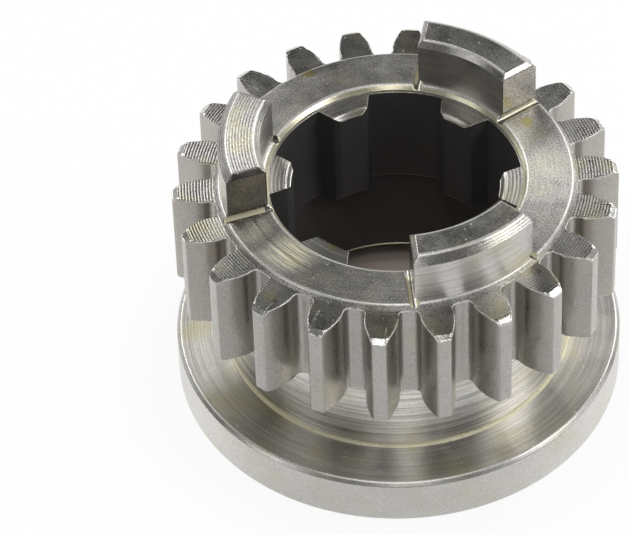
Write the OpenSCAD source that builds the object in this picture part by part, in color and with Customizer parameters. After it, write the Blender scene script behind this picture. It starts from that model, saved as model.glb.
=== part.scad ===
// Sliding transmission gear: one piece of steel, turned, hobbed, milled and broached.
// It stands on its fork flange with the face dogs up.
// Origin: middle of the base. +Z runs along the bore towards the dogs.

/* [Teeth] */
// Number of spur teeth
tooth_count = 22; // [20:1:36]
// Module: pitch diameter divided by the number of teeth
tooth_module = 2.5; // [2.3:0.1:4]
// Pressure angle of the involute flanks, in degrees
pressure_angle = 20; // [17:0.5:25]
// Width of the toothed rim along the axis
face_width = 15.3; // [10:0.1:30]
// Radius of the fillet at the foot of each tooth
root_fillet = 0.9; // [0.3:0.1:1]
// Chamfer on the upper ends of the tooth tips, measured across the radius
tip_chamfer = 0.8; // [0.2:0.1:1.2]
// Height of the same chamfer, measured along the axis
tip_chamfer_height = 0.6; // [0.2:0.1:1.2]
// Chamfer on the lower ends of the tooth tips
lower_tip_chamfer = 0.3; // [0.1:0.1:1.2]
// Turn of the first tooth about the axis, in degrees
tooth_turn = 3.26; // [0:0.01:18]

/* [Hub ring] */
// Height of the raised ring over the tooth faces
hub_height = 0.7; // [0.4:0.1:3]
// Gap between the foot of the ring and the root circle of the teeth
hub_root_gap = 0.1; // [0.05:0.05:1]
// Width of the sloped edge round the ring
hub_edge = 0.5; // [0.2:0.1:1]

/* [Face dogs] */
// Number of dogs on the ring
dog_count = 3; // [2:1:6]
// Angle that one dog covers, in degrees
dog_angle = 44; // [20:0.5:50]
// Turn of the first dog about the axis, in degrees
dog_turn = 57.2; // [0:0.1:120]
// Height of the dogs over the ring
dog_height = 7.6; // [3:0.1:15]
// Ledge left outside the dogs on top of the ring
dog_outer_ledge = 0.18; // [0.1:0.01:1]
// Ledge left between the dogs and the mouth of the bore
dog_inner_ledge = 0.25; // [0.1:0.05:1]
// Chamfer along the outer top edge of a dog
dog_outer_chamfer = 1.1; // [0.3:0.1:1.6]
// Chamfer along the inner top edge of a dog
dog_inner_chamfer = 0.8; // [0.2:0.1:1.2]
// Chamfer across the top of the end faces
dog_end_chamfer = 0.7; // [0.2:0.1:1.5]
// Radius of the relief groove at the foot of the end faces
relief_radius = 0.65; // [0.2:0.05:0.8]
// Height of the relief groove's middle line over the ring
relief_lift = 0.1; // [0.05:0.05:0.3]

/* [Splined bore] */
// Number of splines in the bore
spline_count = 6; // [3:1:7]
// Turn of the first slot between splines about the axis, in degrees
spline_turn = 24.4; // [0:0.1:60]
// Diameter inside the splines
spline_minor_d = 28; // [22:0.5:32]
// Diameter at the bottom of the slots
spline_major_d = 34; // [33:0.5:38]
// Width of the slots between the splines
slot_width = 10; // [5:0.5:12]
// Chamfer along the two corners of each spline
spline_corner = 0.6; // [0.2:0.1:1]
// Chamfer on the ends of the splines
spline_end_chamfer = 0.7; // [0.2:0.1:1.2]
// Depth of the spline ends under the top of the ring
spline_drop = 0.9; // [0.8:0.1:3]
// Step between the slot bottoms and the mouth of the bore
mouth_step = 0.1; // [0.05:0.05:0.5]
// Chamfer round the mouth of the bore
mouth_chamfer = 0.6; // [0.2:0.1:0.7]
// Depth of the plain counterbore, from the base to the splines
counterbore_depth = 18.5; // [8:0.5:28]
// Step between the slot bottoms and the wall of the counterbore
counterbore_step = 0.8; // [0.2:0.1:1.5]
// Chamfer at the lower end of the counterbore
base_chamfer = 3.8; // [0.5:0.1:4]

/* [Fork groove and flange] */
// Width of the groove for the shift fork, along the axis
groove_width = 11.9; // [6:0.1:20]
// How far the bottom of the groove lies inside the root circle
groove_undercut = 0.9; // [0.3:0.1:2]
// Radius of the fillets in both corners of the groove
groove_fillet = 0.4; // [0.1:0.1:0.8]
// Thickness of the flange under the groove
flange_thickness = 7.3; // [4:0.1:15]
// How far the flange stands out past the tooth tips
flange_reach = 0.6; // [0:0.1:4]
// Chamfer on both edges of the flange
flange_edge = 0.5; // [0.2:0.1:1.5]

/* [Hidden] */
$fn = 144;

// Standard heights of a full-depth tooth, in modules
ADDENDUM = 1;
DEDENDUM = 1.25;
// Segments along one involute flank, one root fillet and one fillet of the groove
FLANK_STEPS = 8;
FILLET_STEPS = 5;
GROOVE_FILLET_STEPS = 4;
// How far a cutting shape runs past the surface that it cuts
OVERRUN = 1;
// How much longer the cut across a spline's corner is than the chamfer that it leaves
CORNER_OVERRUN = 1.5;
// How far the dogs are sunk into the ring that carries them
DOG_SINK = 0.3;

pitch_r = tooth_module * tooth_count / 2;
tip_r = pitch_r + ADDENDUM * tooth_module;
root_r = pitch_r - DEDENDUM * tooth_module;
base_circle_r = pitch_r * cos(pressure_angle);
tooth_pitch = 360 / tooth_count;

groove_z = flange_thickness;
teeth_z = groove_z + groove_width;
face_z = teeth_z + face_width;
hub_z = face_z + hub_height;
dog_z = hub_z + dog_height;

flange_r = tip_r + flange_reach;
groove_r = root_r - groove_undercut;
hub_r = root_r - hub_root_gap;
hub_top_r = hub_r - hub_edge;

minor_r = spline_minor_d / 2;
major_r = spline_major_d / 2;
counterbore_r = major_r + counterbore_step;
mouth_r = major_r + mouth_step;
mouth_edge_r = mouth_r + mouth_chamfer;
spline_z = hub_z - spline_drop;

dog_outer_r = hub_top_r - dog_outer_ledge;
dog_inner_r = mouth_edge_r + dog_inner_ledge;

// Point at a radius and an angle
function polar(r, a) = [r * cos(a), r * sin(a)];

// Involute function of an angle, in degrees
function involute(a) = tan(a) * 180 / PI - a;

// Half the angle that a tooth covers at a radius on its involute flank
function tooth_half_angle(r) =
    tooth_pitch / 4 + involute(pressure_angle) - involute(acos(base_circle_r / r));

// The involute starts at its base circle, or at the end of the root fillet where that is higher
fillet_centre_r = root_r + root_fillet;
fillet_end_r = sqrt(pow(fillet_centre_r, 2) - pow(root_fillet, 2));
form_r = max(base_circle_r, fillet_end_r);
fillet_lean = asin(root_fillet / fillet_centre_r);

// Points of one flank, from its foot on the root circle to just past the tip, for a tooth at angle 0
function half_tooth() =
    let (
        foot_angle = tooth_half_angle(form_r),
        centre_angle = foot_angle + fillet_lean,
        centre = polar(fillet_centre_r, centre_angle),
        from = centre_angle - 180,
        to = foot_angle - 90,
        top_r = tip_r + OVERRUN / 2
    )
    concat(
        [for (i = [0 : FILLET_STEPS]) centre + polar(root_fillet, from + (to - from) * i / FILLET_STEPS)],
        [for (i = [0 : FLANK_STEPS])
            let (r = form_r + (top_r - form_r) * i / FLANK_STEPS) polar(r, tooth_half_angle(r))]
    );

// One whole tooth at angle 0, counter-clockwise
function whole_tooth() =
    let (half = half_tooth(), last = len(half) - 1)
    concat(
        [for (p = half) [p[0], -p[1]]],
        [for (i = [last : -1 : 0]) half[i]]
    );

function turned(p, a) = [p[0] * cos(a) - p[1] * sin(a), p[0] * sin(a) + p[1] * cos(a)];

// Outline of the whole toothed rim
function rim_outline() =
    let (tooth = whole_tooth())
    [for (i = [0 : tooth_count - 1], p = tooth) turned(p, tooth_turn + i * tooth_pitch)];

// Section of a fillet between the floor and a wall of the groove, about a centre at height z
function groove_corner(z, from, to) =
    [for (i = [0 : GROOVE_FILLET_STEPS])
        [groove_r + groove_fillet, z]
        + polar(groove_fillet, from + (to - from) * i / GROOVE_FILLET_STEPS)];

// Everything outside that is turned on the lathe, before the teeth are cut
module turned_blank() {
    rotate_extrude()
        polygon(concat(
            [
                [0, 0],
                [flange_r - flange_edge, 0],
                [flange_r, flange_edge],
                [flange_r, groove_z - flange_edge],
                [flange_r - flange_edge, groove_z]
            ],
            groove_corner(groove_z + groove_fillet, 270, 180),
            groove_corner(teeth_z - groove_fillet, 180, 90),
            [
                [tip_r - lower_tip_chamfer, teeth_z],
                [tip_r, teeth_z + lower_tip_chamfer],
                [tip_r, face_z - tip_chamfer_height],
                [tip_r - tip_chamfer, face_z],
                [hub_r, face_z],
                [hub_top_r, hub_z],
                [0, hub_z]
            ]
        ));
}

// The spaces between the teeth
module tooth_spaces() {
    translate([0, 0, teeth_z - OVERRUN])
        linear_extrude(face_width + 2 * OVERRUN)
            difference() {
                circle(tip_r + OVERRUN);
                polygon(rim_outline());
            }
}

// One dog, with the middle of its arc on +X
module face_dog() {
    half = dog_angle / 2;
    difference() {
        rotate([0, 0, -half])
            rotate_extrude(angle = dog_angle)
                polygon([
                    [dog_inner_r, hub_z - DOG_SINK],
                    [dog_outer_r, hub_z - DOG_SINK],
                    [dog_outer_r, dog_z - dog_outer_chamfer],
                    [dog_outer_r - dog_outer_chamfer, dog_z],
                    [dog_inner_r + dog_inner_chamfer, dog_z],
                    [dog_inner_r, dog_z - dog_inner_chamfer]
                ]);
        for (side = [-1, 1])
            rotate([0, 0, side * half])
                translate([0, 0, dog_z])
                    rotate([45, 0, 0])
                        cube([2 * tip_r, dog_end_chamfer * sqrt(2), dog_end_chamfer * sqrt(2)], center = true);
    }
}

// Half-round relief grooves at the foot of one dog's end faces
module dog_reliefs() {
    for (side = [-1, 1])
        rotate([0, 0, side * dog_angle / 2])
            translate([minor_r, 0, hub_z + relief_lift])
                rotate([0, 90, 0])
                    cylinder(h = tip_r - minor_r, r = relief_radius);
}

// The slot between two splines, with the chamfered corners of both, along +X
module spline_slot() {
    half_w = slot_width / 2;
    corner_angle = asin(half_w / minor_r);
    corner = polar(minor_r, corner_angle);
    on_wall = corner + [spline_corner, 0];
    on_tip = corner + polar(spline_corner, corner_angle + 90);
    past_tip = on_wall + CORNER_OVERRUN * (on_tip - on_wall);
    translate([0, 0, counterbore_depth - OVERRUN / 2])
        linear_extrude(spline_z - counterbore_depth + OVERRUN)
            polygon([
                [minor_r / 2, 0],
                [past_tip[0], -past_tip[1]],
                [on_wall[0], -on_wall[1]],
                [major_r + OVERRUN, -half_w],
                [major_r + OVERRUN, half_w],
                on_wall,
                past_tip
            ]);
}

// The hollow of the bore: mouth, spline ends, splines, counterbore and its chamfer
module splined_bore() {
    rotate_extrude()
        polygon([
            [0, -OVERRUN],
            [counterbore_r + base_chamfer + OVERRUN, -OVERRUN],
            [counterbore_r, base_chamfer],
            [counterbore_r, counterbore_depth],
            [minor_r + spline_end_chamfer, counterbore_depth],
            [minor_r, counterbore_depth + spline_end_chamfer],
            [minor_r, spline_z - spline_end_chamfer],
            [minor_r + spline_end_chamfer, spline_z],
            [mouth_r, spline_z],
            [mouth_r, hub_z - mouth_chamfer],
            [mouth_edge_r, hub_z],
            [mouth_edge_r, dog_z + OVERRUN],
            [0, dog_z + OVERRUN]
        ]);
    intersection() {
        cylinder(h = hub_z, r = major_r);
        for (i = [0 : spline_count - 1])
            rotate([0, 0, spline_turn + i * 360 / spline_count])
                spline_slot();
    }
}

module sliding_gear() {
    color([0.60, 0.58, 0.55])
        difference() {
            union() {
                difference() {
                    turned_blank();
                    tooth_spaces();
                }
                for (i = [0 : dog_count - 1])
                    rotate([0, 0, dog_turn + i * 360 / dog_count])
                        face_dog();
            }
            splined_bore();
            for (i = [0 : dog_count - 1])
                rotate([0, 0, dog_turn + i * 360 / dog_count])
                    dog_reliefs();
        }
}

sliding_gear();
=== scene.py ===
"""Looks of a sliding transmission gear: toothed rim, hub ring, dogs, splined bore, fork groove and flange."""

import math

import bpy
import numpy as np
from bpy.props import FloatProperty, FloatVectorProperty, IntProperty, PointerProperty
from mathutils import Matrix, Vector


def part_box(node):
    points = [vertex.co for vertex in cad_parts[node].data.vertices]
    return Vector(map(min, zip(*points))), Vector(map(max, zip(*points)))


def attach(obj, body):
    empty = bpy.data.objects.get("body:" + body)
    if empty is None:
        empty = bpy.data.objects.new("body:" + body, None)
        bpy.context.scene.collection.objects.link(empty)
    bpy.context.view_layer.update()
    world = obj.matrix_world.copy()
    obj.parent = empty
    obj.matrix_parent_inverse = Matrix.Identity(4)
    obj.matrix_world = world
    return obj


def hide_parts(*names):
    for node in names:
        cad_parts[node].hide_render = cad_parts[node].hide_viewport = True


bl_info = {
    "name": "Sliding Transmission Gear",
    "version": (1, 0, 0),
    "blender": (4, 5, 0),
    "location": "3D View > Sidebar > Gear",
    "description": "Builds the surfaces and finishes of a sliding gear with face dogs and a splined bore",
    "category": "Object",
}

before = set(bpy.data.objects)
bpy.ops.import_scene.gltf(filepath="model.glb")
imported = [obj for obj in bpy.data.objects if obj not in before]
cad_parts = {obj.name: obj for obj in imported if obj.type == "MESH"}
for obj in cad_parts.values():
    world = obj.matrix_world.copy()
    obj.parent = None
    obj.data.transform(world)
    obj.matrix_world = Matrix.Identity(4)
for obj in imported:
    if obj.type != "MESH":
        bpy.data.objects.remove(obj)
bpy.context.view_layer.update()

GEAR_NODE = "sliding_gear"
BODY = "root"
MM = 0.001
GEAR_LOW, GEAR_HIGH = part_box(GEAR_NODE)
BASE_Z = GEAR_LOW.z
TOP_Z = GEAR_HIGH.z
WIDEST_RADIUS = (GEAR_HIGH.x - GEAR_LOW.x) / 2


def length_value(name, description, default, precision=5):
    """A length that a user can change."""
    return FloatProperty(name=name, description=description, default=default, unit="LENGTH",
                         precision=precision)


def angle_value(name, description, degrees):
    """An angle that a user can change, with its default in degrees."""
    return FloatProperty(name=name, description=description, default=math.radians(degrees), unit="ROTATION")


def colour_value(name, description, default):
    """A colour that a user can change."""
    return FloatVectorProperty(name=name, description=description, default=default, subtype="COLOR",
                               min=0, max=1)


class GearTeeth(bpy.types.PropertyGroup):
    """Sizes of the toothed rim"""
    count: IntProperty(name="Teeth", description="Number of teeth", default=22, min=8)
    module: length_value("Module", "Pitch diameter over the number of teeth", 2.5 * MM)
    pressure_angle: angle_value("Pressure angle", "Slope of the flanks", 20)
    first_turn: angle_value("First tooth", "Turn of the first tooth", 3.26)
    root_fillet: length_value("Root fillet", "Radius at the foot of a tooth", 0.9 * MM)
    low: length_value("Lower face", "Height of the lower faces", BASE_Z + 19.2 * MM)
    high: length_value("Upper face", "Height of the upper faces", BASE_Z + 34.5 * MM)
    chamfer_reach: length_value("Chamfer reach", "Chamfer on the upper tips, across", 0.8 * MM)
    chamfer_height: length_value("Chamfer height", "Chamfer on the upper tips, along", 0.6 * MM)
    lower_chamfer: length_value("Lower chamfer", "Chamfer on the lower tips", 0.3 * MM)
    edge_break: length_value("Edge break", "Rounding left by filing and wear", 0.15 * MM)


class GearHub(bpy.types.PropertyGroup):
    """Sizes of the raised ring and its face dogs"""
    ring_top: length_value("Ring height", "Height of the ring's face", BASE_Z + 35.2 * MM)
    ring_foot_radius: length_value("Ring foot", "Radius at the foot of the ring", 24.275 * MM)
    ring_edge: length_value("Ring edge", "Width of the sloped edge", 0.5 * MM)
    ring_worn_edge: length_value("Ring's worn edge", "Rounding of the ring's upper edges", 0.26 * MM)
    dog_count: IntProperty(name="Dogs", description="Number of face dogs", default=3, min=1)
    dog_first_turn: angle_value("First dog", "Turn of the first dog", 57.2)
    dog_arc: angle_value("Dog arc", "Angle that one dog covers", 44)
    dog_inner_radius: length_value("Dog inside", "Radius of the inner wall", 17.95 * MM)
    dog_outer_radius: length_value("Dog outside", "Radius of the outer wall", 23.595 * MM)
    inner_chamfer: length_value("Inner chamfer", "Chamfer over the inner wall", 0.8 * MM)
    outer_chamfer: length_value("Outer chamfer", "Chamfer over the outer wall", 1.1 * MM)
    end_chamfer: length_value("End chamfer", "Chamfer over the end faces", 0.7 * MM)
    relief_radius: length_value("Relief radius", "Groove at the foot of the end faces", 0.65 * MM)
    relief_lift: length_value("Relief lift", "Middle of that groove over the ring", 0.1 * MM)
    edge_break: length_value("Edge break", "Rounding of the edges", 0.08 * MM)
    worn_edge: length_value("Worn edge", "Rounding of the edges on top of the dogs", 0.28 * MM)
    ridge_pitch: length_value("Ridge pitch", "Feed of the lathe tool", 0.40 * MM)
    ridge_depth: length_value("Ridge depth", "Depth of the tool's marks", 0.036 * MM, precision=6)


class GearBore(bpy.types.PropertyGroup):
    """Sizes of the bore, its splines and its counterbore"""
    spline_count: IntProperty(name="Splines", description="Number of splines", default=6, min=3)
    first_slot_turn: angle_value("First slot", "Turn of the first slot", 24.4)
    minor_radius: length_value("Spline tips", "Radius at the tips of the splines", 14 * MM)
    major_radius: length_value("Slot bottoms", "Radius at the bottom of the slots", 17 * MM)
    slot_width: length_value("Slot width", "Width between two splines", 10 * MM)
    spline_corner: length_value("Spline corner", "Chamfer along the splines", 0.6 * MM)
    end_chamfer: length_value("End chamfer", "Chamfer on the ends of the splines", 0.7 * MM)
    spline_low: length_value("Spline foot", "Height of the lower spline ends", BASE_Z + 18.5 * MM)
    spline_high: length_value("Spline top", "Height of the upper spline ends", BASE_Z + 34.3 * MM)
    mouth_radius: length_value("Mouth", "Radius of the mouth", 17.1 * MM)
    mouth_chamfer: length_value("Mouth chamfer", "Chamfer round the mouth", 0.6 * MM)
    counterbore_radius: length_value("Counterbore", "Radius of the counterbore", 17.8 * MM)
    base_chamfer: length_value("Base chamfer", "Chamfer at the base of the bore", 3.8 * MM)
    burr: length_value("Burr", "Burr over the chamfer at the base of the bore", 0.15 * MM)
    edge_break: length_value("Edge break", "Rounding of the edges", 0.08 * MM)


class GearFlange(bpy.types.PropertyGroup):
    """Sizes of the fork groove and the flange"""
    groove_radius: length_value("Groove floor", "Radius of the groove's floor", 23.475 * MM)
    flange_radius: length_value("Flange", "Radius of the flange", WIDEST_RADIUS)
    flange_top: length_value("Flange top", "Height of the flange's upper face", BASE_Z + 7.3 * MM)
    flange_edge: length_value("Flange edge", "Chamfer on the flange's edges", 0.5 * MM)
    corner_fillet: length_value("Groove corner", "Fillet at the foot of the groove", 0.4 * MM)
    edge_break: length_value("Edge break", "Rounding of the edges", 0.1 * MM)


class GearFinish(bpy.types.PropertyGroup):
    """Colours of the steel, of what lies on it, and of the shade and highlights painted on it"""
    steel: colour_value("Steel", "Colour of the cut steel", (0.56, 0.545, 0.515))
    turned: colour_value("Turned", "Colour of cleanly turned steel", (0.70, 0.685, 0.65))
    # Edges in this colour are mostly matt: polished by wear, and painted bright as a highlight
    bright: colour_value("Bright", "Colour of worn edges, nicks and the groove", (0.86, 0.84, 0.80))
    # Painted shade: a darker steel for the hobbed flanks and the milled end faces of the dogs
    shaded_steel: colour_value("Shaded steel", "Colour of hobbed and milled faces", (0.44, 0.42, 0.39))
    # Painted shade: the end faces of one dog take this dark colour
    dark: colour_value("Dark", "Colour of end faces dark with oil", (0.20, 0.185, 0.165))
    oil: colour_value("Oil", "Colour of steel under old oil", (0.50, 0.45, 0.17))
    # Painted highlights: corners, the relief grooves, the mouth's chamfer and places polished by wear take
    # this gold, mostly matt
    gold: colour_value("Gold", "Colour of oily corners and rubbed places", (0.97, 0.92, 0.68))
    # Near-black for the bore and the counterbore: oil on the steel, and shade painted in
    bore_black: colour_value("Bore", "Colour of the oiled bore", (0.075, 0.073, 0.072))


class GearStage(bpy.types.PropertyGroup):
    """The floor, the lamps and the camera"""
    floor_colour: colour_value("Floor", "Colour of the floor", (0.93, 0.93, 0.95))
    # A brown tint painted as shade on the floor where it shows through the bore
    bore_shade_tint: colour_value("Bore shade", "Colour of the floor inside the bore", (1.0, 0.86, 0.76))
    floor_glow: FloatProperty(name="Floor white", description="Share of plain white in the floor as seen",
                              default=0.985, min=0, max=1)
    world_level: FloatProperty(name="Room", description="Brightness of the room", default=0.08)
    camera_place: FloatVectorProperty(name="Camera", description="Where the camera stands", size=3,
                                      default=(0, -0.415918, 0.448925), subtype="TRANSLATION")
    camera_turn: FloatVectorProperty(name="Camera turn", description="Pan, tilt from straight down, roll",
                                     size=3, subtype="EULER",
                                     default=(math.radians(1.5531), math.radians(43.9793),
                                              math.radians(-2.264)))
    focal_px: FloatProperty(name="Focal length", description="Focal length in pixels of the photo",
                            default=4386.995)


PHOTO_WIDTH_PX = 629
SENSOR_MM = 36.0

# Depth of a tooth's root under the pitch circle, in modules
DEDENDUM = 1.25
# Rounding of the corner between a flank and the tip circle
TOOTH_CORNER = 0.22 * MM
# Points on the parts of a tooth's outline
ROOT_POINTS, FILLET_POINTS, FLANK_POINTS, LAND_POINTS = 4, 8, 12, 3
# Points on the parts of a spline's outline
TIP_POINTS, CHAMFER_POINTS, WALL_POINTS, BOTTOM_POINTS = 10, 5, 12, 16
# Parts of a ring of teeth
UPPER_FACE, BROKEN_EDGE, WALL, LOWER_FACE = range(4)
# Width of the rounding where a chamfer meets a face
TOOTH_CREASE = 0.05 * MM
CREASE = 0.04 * MM
# Distance from the end of a straight run to its next point, at most
FIRST_STEP = 0.04 * MM
# Radii inside the steel where the surface of a piece ends unseen: toothed rim, splines, ring and flange
RIM_HIDDEN, SPLINES_HIDDEN, CORE_HIDDEN = 23.4 * MM, 19.5 * MM, 20 * MM
# How far the ring, the dogs and the body over the groove reach into the steel next to them
RING_SUNK, DOG_SUNK, BODY_SUNK = 0.9 * MM, 1.0 * MM, 0.6 * MM

# Share of the full ridge depth on each run of a dog's section: foot, outer wall, outer chamfer, top, inner
# chamfer, inner wall
RIDGE_SHARES = (0.0, 0.08, 0.7, 1.0, 0.3, 0.12)
# Share of the ridge depth that wear has left on each dog
DOG_RIDGES = (0.3, 1.0, 0.35)
# The dog whose end faces are painted dark as shade
DARK_DOG = 2
# Name of the vertex attribute that is 1 at the bottom of a carved ridge's valley, where shade is painted
VALLEY = "valley"
# How fast the rings and the arcs of the painted highlight on polished places change along their own circle,
# in 1/m
RING_SPREAD, ARC_SPREAD = 60.0, 160.0
ARC_SPACING = 0.22 * MM
# Sizes of the clouds of the oil film, the ragged edge of a stain, the grain and its patches
CLOUD_SIZE, RAGGED_SIZE, GRAIN_SIZE, PATCH_SIZE = 5.0 * MM, 0.9 * MM, 0.22 * MM, 2.5 * MM
# Share of the cells of the nicks' pattern that hold no nick
NO_NICK = 0.62
# Oil stains that the photo shows: x, y, z and size in mm, and strength
OIL_STAINS = (
    (-11.7, 20.2, 35.2, 1.2, 0.8),
    (17.9, 9.7, 35.2, 1.2, 0.8),
    (-16.6, -21.3, 34.5, 1.2, 0.5),
    (-8.3, -12.0, 34.3, 1.2, 0.7),
    (-13.6, -15.2, 35.2, 1.8, 0.6),
)
# Places polished by wear, with a gold highlight painted on them, in the same form as the stains
RUBBED_SHEEN_PLACES = (
    (-14.2, -14.0, 35.2, 5.0, 1.0),
    (-18.6, -10.0, 35.2, 3.6, 0.6),
    (20.8, 1.5, 35.2, 3.5, 0.35),
)

# A finish, before its own values. roughness: how blurred the gloss is. feed, depth: spacing and depth of the
# tool's marks, in mm. face, wall: how far the marks follow the radius and the height. ridges: share of even
# ridges in them. rings: how far uneven rings lighten and darken the colour. valleys: how much shade is
# painted into the bottoms of the tool's hollows. carved: how much shade is painted into the valleys carved in
# the mesh. grain: depth of the grain, in mm. mottle, nicks, oil: strength of those. rubbed_sheen: strength of
# the gold highlight painted where wear has polished the face. spacing: of the nicks, in mm. stretch: how far
# the gloss is drawn out. metal: 0 where the steel is black with oil and painted shade, and low where a
# highlight is painted. colour: one of the colours of GearFinish.
PLAIN_CUT = dict(roughness=0.34, feed=0.3, depth=0.003, face=0.0, wall=1.0, ridges=0.3, rings=0.0,
                 valleys=0.0, carved=0.0, grain=0.008, mottle=0.22, nicks=0.5, spacing=1.2, oil=0.2,
                 rubbed_sheen=0.0, stretch=0.0, metal=1.0, colour="steel")
FACED = dict(face=1.0, wall=0.0)
SLOPED = dict(face=0.7, wall=0.7)
MILLED = dict(roughness=0.26, feed=0.4, face=0.2, wall=0.4, mottle=0.8)
FINISHES = {
    "faced_teeth": dict(FACED, roughness=0.30, feed=0.40, depth=0.021, ridges=1.0, valleys=0.4, stretch=0.4,
                        oil=0.4, mottle=0.7, nicks=0.7, spacing=0.9),
    # The flanks take the darker steel, painted shade
    "hobbed_flanks": dict(roughness=0.30, feed=1.5, depth=0.0005, grain=0.004, mottle=0.3, oil=0.1,
                          nicks=0.0, colour="shaded_steel"),
    "turned_lands": dict(roughness=0.36, grain=0.006, mottle=0.35, metal=0.75, nicks=0.3),
    "filed_tips": dict(roughness=0.24, depth=0.0, mottle=0.5, metal=0.9, oil=0.1, nicks=0.0,
                       colour="bright"),
    # Edges polished by wear, and painted brighter still as a highlight: mostly matt near-white
    "worn_sheen_edges": dict(roughness=0.24, depth=0.0, grain=0.010, mottle=0.5, metal=0.35, colour="bright"),
    # The mouth's chamfer: partly matt gold, a painted highlight
    "turned_edges": dict(SLOPED, roughness=0.24, depth=0.004, grain=0.006, rings=0.2, mottle=0.3,
                         stretch=0.5, metal=0.6, colour="gold"),
    "faced_ring": dict(FACED, roughness=0.41, feed=0.21, depth=0.005, rings=0.08, grain=0.016, mottle=1.0,
                       stretch=0.8, oil=0.25, nicks=1.0, spacing=0.6, rubbed_sheen=1.0),
    # Matt gold on the lips of the relief grooves: a painted highlight
    "relief_highlights": dict(roughness=0.2, depth=0.0, grain=0.003, mottle=0.15, oil=0.0, nicks=0.0, metal=0.2,
                         colour="gold"),
    "spline_ends": dict(FACED, roughness=0.30, feed=0.5, depth=0.030, ridges=0.8, rings=0.15, valleys=0.2,
                        stretch=0.6, oil=0.4),
    "turned_dogs": dict(SLOPED, feed=0.2, ridges=0.2, grain=0.005, mottle=0.8, stretch=0.8, oil=0.3,
                        carved=0.5, nicks=1.0, spacing=0.7, colour="turned"),
    "turned_walls": dict(depth=0.006, rings=0.12, grain=0.003, mottle=0.2, stretch=0.85, oil=0.3, nicks=0.3,
                         colour="turned"),
    "turned_slopes": dict(SLOPED, roughness=0.30, feed=0.2, ridges=0.2, grain=0.004, mottle=0.6,
                          stretch=0.6, oil=0.15, carved=0.5),
    # The dogs' end faces take the darker steel, painted shade
    "milled_ends": dict(MILLED, colour="shaded_steel"),
    # One dog's end faces, painted dark as shade
    "shaded_ends": dict(MILLED, oil=0.0, colour="dark"),
    # The bore, matt and near-black: oil on the steel, and painted shade
    "oiled_shaded_bore": dict(roughness=0.6, grain=0.010, nicks=0.0, oil=0.0, metal=0.0, colour="bore_black"),
    "turned_groove": dict(roughness=0.32, feed=0.45, depth=0.016, ridges=0.5, rings=0.25, valleys=0.2,
                          grain=0.004, stretch=0.7, oil=0.3, colour="bright"),
    "faced_flange": dict(FACED, feed=0.45, depth=0.011, ridges=0.4, rings=0.12, valleys=0.15, grain=0.005,
                         stretch=0.8, oil=0.4),
    # Matt gold lines on corners: painted highlights
    "gold_glint_corner": dict(roughness=0.3, depth=0.0, grain=0.003, mottle=0.1, oil=0.1, nicks=0.0, metal=0.2,
                          colour="gold"),
    "turned_rim": dict(depth=0.002, mottle=0.3, stretch=0.2, nicks=0.2, colour="turned"),
}


def soft_min(a, b, width):
    """The smaller of two values, with a rounded corner about as wide as width where they cross."""
    return 0.5 * (a + b - np.sqrt((a - b) ** 2 + width ** 2))


def soft_max(a, b, width):
    """The larger of two values, with a rounded corner about as wide as width where they cross."""
    return 0.5 * (a + b + np.sqrt((a - b) ** 2 + width ** 2))


def wander(x, seed, octaves=4):
    """A smooth random curve of x between about -1 and 1: a sum of sines with random phases."""
    rng = np.random.default_rng(seed)
    total = np.zeros_like(x)
    for octave in range(octaves):
        speed = (octave + 1) * rng.uniform(0.8, 1.3)
        total = total + np.sin(speed * x + rng.uniform(0, 2 * math.pi)) / octaves ** 0.5
    return total


def polar(radius, angle, height=None):
    """Points at a radius and an angle, and at a height where one is given, as arrays of one shape."""
    parts = [radius * np.cos(angle), radius * np.sin(angle)]
    if height is not None:
        parts.append(height)
    return np.stack(np.broadcast_arrays(*parts), axis=-1)


def rounded(start, corner, end, steps):
    """Inner points of the quadratic curve from start to end that bends towards a corner."""
    share = np.linspace(0, 1, steps + 1)[1:-1, None]
    return (1 - share) ** 2 * start + 2 * share * (1 - share) * corner + share ** 2 * end


def outline_normals(outline):
    """Unit normals of a closed outline: the direction between each point's neighbours, turned by 90 degrees.
    They point outwards where the outline is counter-clockwise."""
    step = np.roll(outline, -1, axis=0) - np.roll(outline, 1, axis=0)
    step = step / np.linalg.norm(step, axis=1, keepdims=True)
    return np.stack([step[:, 1], -step[:, 0]], axis=1)


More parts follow.
